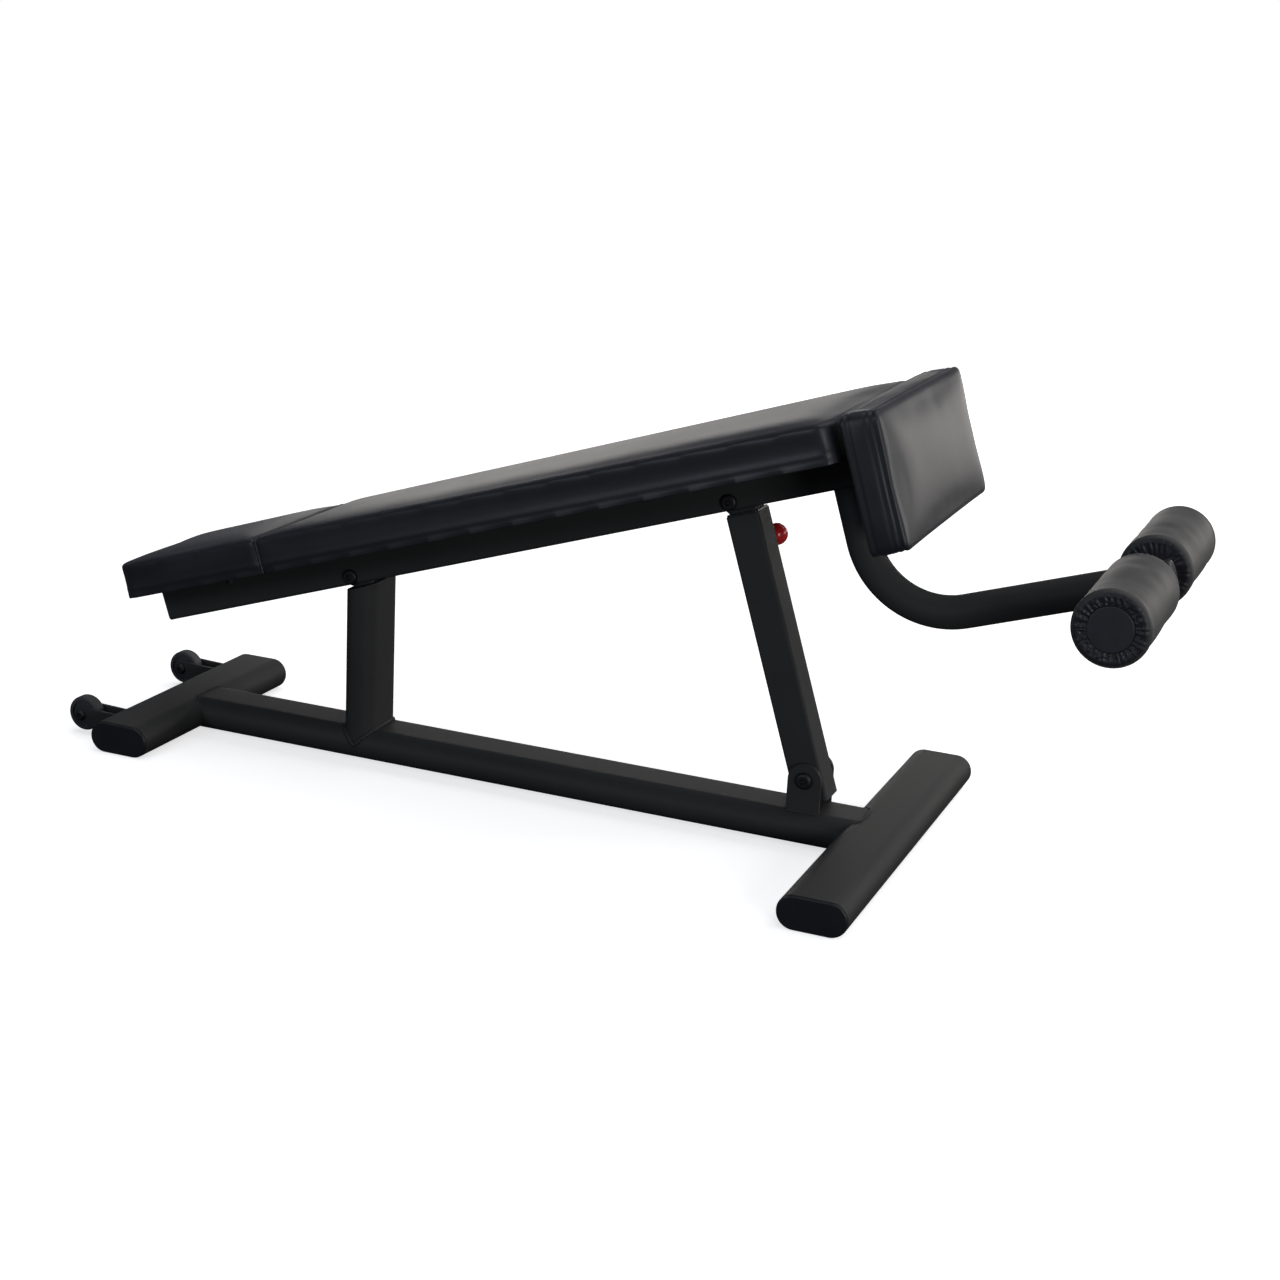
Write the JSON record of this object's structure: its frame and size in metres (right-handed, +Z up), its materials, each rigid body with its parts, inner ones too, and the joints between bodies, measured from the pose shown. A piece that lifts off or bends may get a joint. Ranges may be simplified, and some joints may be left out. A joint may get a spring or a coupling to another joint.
{
  "type": "roman chair",
  "caption": "Adjustable incline sit-up bench: tapered padded bench on a rear pivot and telescopic strut, thigh pad, bent arm with foot rollers, flat-oval tube base, transport wheels.",
  "frame": {"origin": "on the floor under the middle of the bounding box", "axes": "+X towards the foot rollers, +Z up, +Y to the locking pin's side"},
  "size_m": [1.6802, 0.66, 0.6806],
  "materials": {
    "frame_paint": "satin powder coat",
    "inner_tube_paint": "satin",
    "black_plastic": "satin",
    "roller_plastic": "smooth",
    "wheel_plastic": "satin",
    "pivot_hardware": "black oxide",
    "zinc_steel": "zinc plated",
    "plywood": "raw",
    "pad_vinyl": "satin vinyl",
    "roller_vinyl": "glossy gathered vinyl",
    "red_knob": "gloss"
  },
  "bodies": {
    "base": {"front_stabiliser": "frame_paint", "rear_stabiliser": "frame_paint", "front_cap_left": "black_plastic", "front_cap_right": "black_plastic", "rear_cap_left": "black_plastic", "rear_cap_right": "black_plastic", "base_rail": "frame_paint", "rear_post": "frame_paint", "post_top_plate": "frame_paint", "pivot_lug": "frame_paint", "pivot_sleeve": "zinc_steel", "clevis_ear_left": "frame_paint", "clevis_ear_right": "frame_paint", "foot_pivot_bolt": "pivot_hardware", "foot_pivot_nut": "pivot_hardware", "wheel_fork_left": "frame_paint", "wheel_fork_right": "frame_paint", "wheel_bolts": "pivot_hardware", "wheel_nuts": "pivot_hardware"},
    "bench": {"main_beam": "frame_paint", "beam_end_plate": "frame_paint", "pad_plate_rear": "frame_paint", "pad_plate_middle": "frame_paint", "pad_plate_front": "frame_paint", "back_board": "plywood", "thigh_plate": "frame_paint", "thigh_board": "plywood", "back_pad_screws": "zinc_steel", "back_board_inserts": "zinc_steel", "thigh_pad_screws": "zinc_steel", "thigh_board_inserts": "zinc_steel", "head_pad": "pad_vinyl", "back_pad": "pad_vinyl", "thigh_pad": "pad_vinyl", "roller_arm": "frame_paint", "arm_end_cap": "black_plastic", "roller_axle": "zinc_steel", "axle_collars": "zinc_steel", "axle_end_screws": "zinc_steel", "rear_pivot_bolt": "pivot_hardware", "rear_pivot_nut": "pivot_hardware", "upper_pivot_bolt": "pivot_hardware", "upper_pivot_nut": "pivot_hardware"},
    "strut_lower": {"strut_tube": "frame_paint", "strut_foot_sleeve": "zinc_steel", "strut_guide": "black_plastic", "pin_barrel": "frame_paint", "pin_spring": "zinc_steel"},
    "strut_upper": {"strut_inner_tube": "inner_tube_paint", "strut_head": "inner_tube_paint"},
    "pin": {"locking_pin": "zinc_steel", "pin_knob": "red_knob"},
    "transport_wheel_right": {"wheel_right": "wheel_plastic"},
    "transport_wheel_left": {"wheel_left": "wheel_plastic"},
    "roller_right": {"foot_roller_right": "roller_vinyl", "roller_sleeve_right": "roller_plastic", "roller_cap_right": "roller_plastic"},
    "roller_left": {"foot_roller_left": "roller_vinyl", "roller_sleeve_left": "roller_plastic", "roller_cap_left": "roller_plastic"}
  },
  "joints": [
    {"name": "bench_tilt", "type": "hinge", "parent": "base", "child": "bench", "pos_m": [-0.40312, 0, 0.29], "axis": [0, -1, 0], "range_deg": [0, 16]},
    {"name": "strut_tilt", "type": "hinge", "parent": "base", "child": "strut_lower", "pos_m": [0.34335, 0, 0.09752], "axis": [0, -1, 0], "range_deg": [0, 2.2]},
    {"name": "strut_slide", "type": "slide", "parent": "strut_lower", "child": "strut_upper", "axis": [-0.3123, 0, 0.95], "range_m": [0, 0.1775]},
    {"name": "pin_pull", "type": "slide", "parent": "strut_lower", "child": "pin", "axis": [0, 1, 0], "range_m": [-0.008, 0]},
    {"name": "wheel_right_spin", "type": "hinge", "parent": "base", "child": "transport_wheel_right", "pos_m": [-0.81262, -0.14, 0.0325], "axis": [0, 1, 0], "continuous": true},
    {"name": "wheel_left_spin", "type": "hinge", "parent": "base", "child": "transport_wheel_left", "pos_m": [-0.81262, 0.14, 0.0325], "axis": [0, 1, 0], "continuous": true},
    {"name": "roller_right_spin", "type": "hinge", "parent": "bench", "child": "roller_right", "pos_m": [0.78912, -0.16, 0.45461], "axis": [0, 1, 0], "continuous": true},
    {"name": "roller_left_spin", "type": "hinge", "parent": "bench", "child": "roller_left", "pos_m": [0.78912, 0.16, 0.45461], "axis": [0, 1, 0], "continuous": true}
  ],
  "couplings": [
    {"joint": "strut_tilt", "follows": "bench_tilt", "ratio": 0.1304},
    {"joint": "strut_slide", "follows": "bench_tilt", "m_per_rad": 0.6338}
  ]
}
